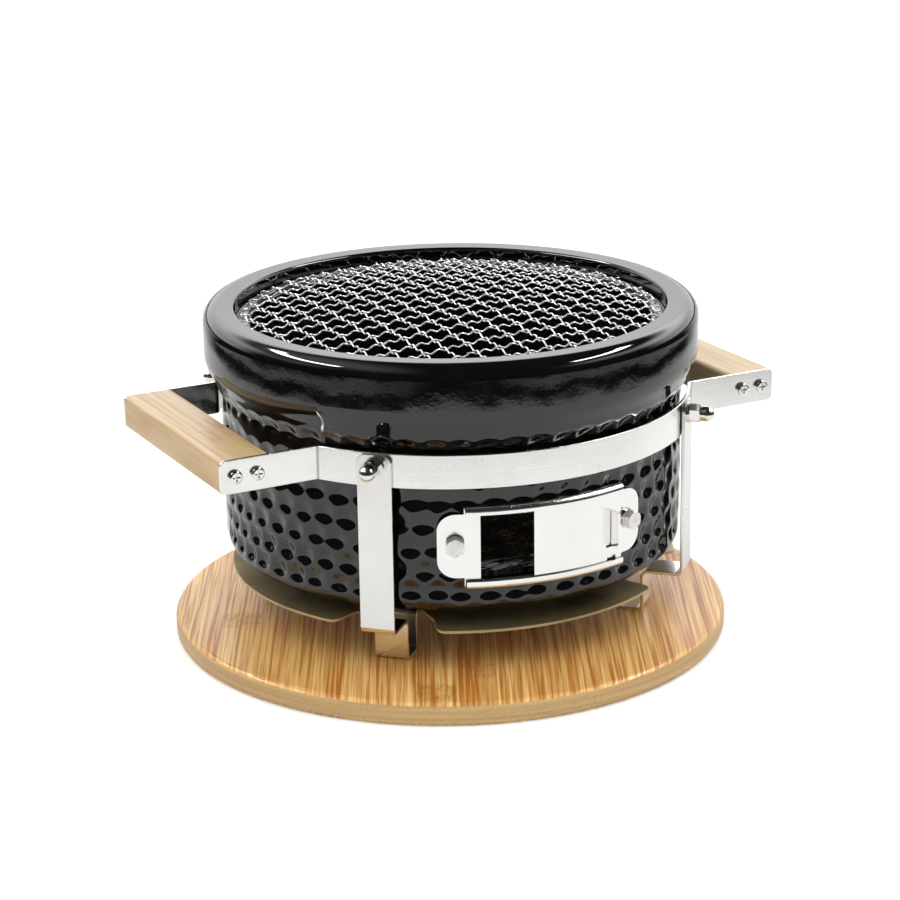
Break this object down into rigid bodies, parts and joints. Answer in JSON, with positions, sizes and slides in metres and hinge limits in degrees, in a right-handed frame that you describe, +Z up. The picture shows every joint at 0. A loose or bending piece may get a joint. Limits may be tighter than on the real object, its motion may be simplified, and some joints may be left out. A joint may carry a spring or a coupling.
{
  "type": "portable tabletop grill",
  "caption": "Round glazed ceramic tabletop charcoal grill with a steel wire grid, banded wooden handles, strap legs, a sliding air vent and a round wooden base board.",
  "frame": {"origin": "where the axis of the round ceramic body meets the underside of the base board", "axes": "+Z up along the axis of the body, +X toward the right-hand handle, the air vent faces -Y"},
  "size_m": [0.37, 0.339, 0.204],
  "materials": {
    "bamboo_board": "satin oiled bamboo with grain lines",
    "bamboo_handle": "satin laminated bamboo",
    "glazed_ceramic": "high gloss black glaze with hammered dimples",
    "grid_wire": "bright crimped wire",
    "grate_steel": "dull perforated steel",
    "band_steel": "fine polished stainless sheet",
    "leg_steel": "fine polished stainless strap",
    "vent_steel": "fine polished stainless sheet",
    "shield_steel": "mirror-like stainless sheet",
    "fastener_chrome": "bright plated fasteners"
  },
  "bodies": {
    "board": {"base_board": "bamboo_board"},
    "grill": {"ceramic_base": "glazed_ceramic", "ceramic_lower_wall": "glazed_ceramic", "ceramic_grate_ledge": "glazed_ceramic", "ceramic_upper_wall": "glazed_ceramic", "ceramic_collar": "glazed_ceramic", "ceramic_rim": "glazed_ceramic", "band_front": "band_steel", "band_rear": "band_steel", "handle_left": "bamboo_handle", "handle_right": "bamboo_handle", "handle_screws_left": "fastener_chrome", "handle_screws_right": "fastener_chrome", "leg_front_left": "leg_steel", "leg_front_right": "leg_steel", "leg_rear_left": "leg_steel", "leg_rear_right": "leg_steel", "leg_bolts": "fastener_chrome", "leg_washers": "fastener_chrome", "leg_cap_nuts": "fastener_chrome", "vent_frame": "vent_steel", "vent_bolts": "fastener_chrome", "vent_washers": "fastener_chrome", "vent_nuts": "fastener_chrome", "heat_shield": "shield_steel", "shield_bolts": "fastener_chrome", "shield_nuts": "fastener_chrome"},
    "slider": {"vent_slider": "vent_steel"},
    "grid": {"cooking_grid_mesh": "grid_wire", "cooking_grid_rim": "grid_wire"},
    "grate": {"charcoal_grate": "grate_steel"}
  },
  "joints": [
    {"name": "grill_lift", "type": "slide", "parent": "board", "child": "grill", "axis": [0, 0, 1], "range_m": [0, 0.06]},
    {"name": "vent_slide", "type": "hinge", "parent": "grill", "child": "slider", "pos_m": [0, 0, 0.0917], "axis": [0, 0, 1], "range_deg": [-14.3, 0]},
    {"name": "grid_lift", "type": "slide", "parent": "grill", "child": "grid", "axis": [0, 0, 1], "range_m": [0, 0.06]},
    {"name": "grate_lift", "type": "slide", "parent": "grill", "child": "grate", "axis": [0, 0, 1], "range_m": [0, 0.06]}
  ]
}
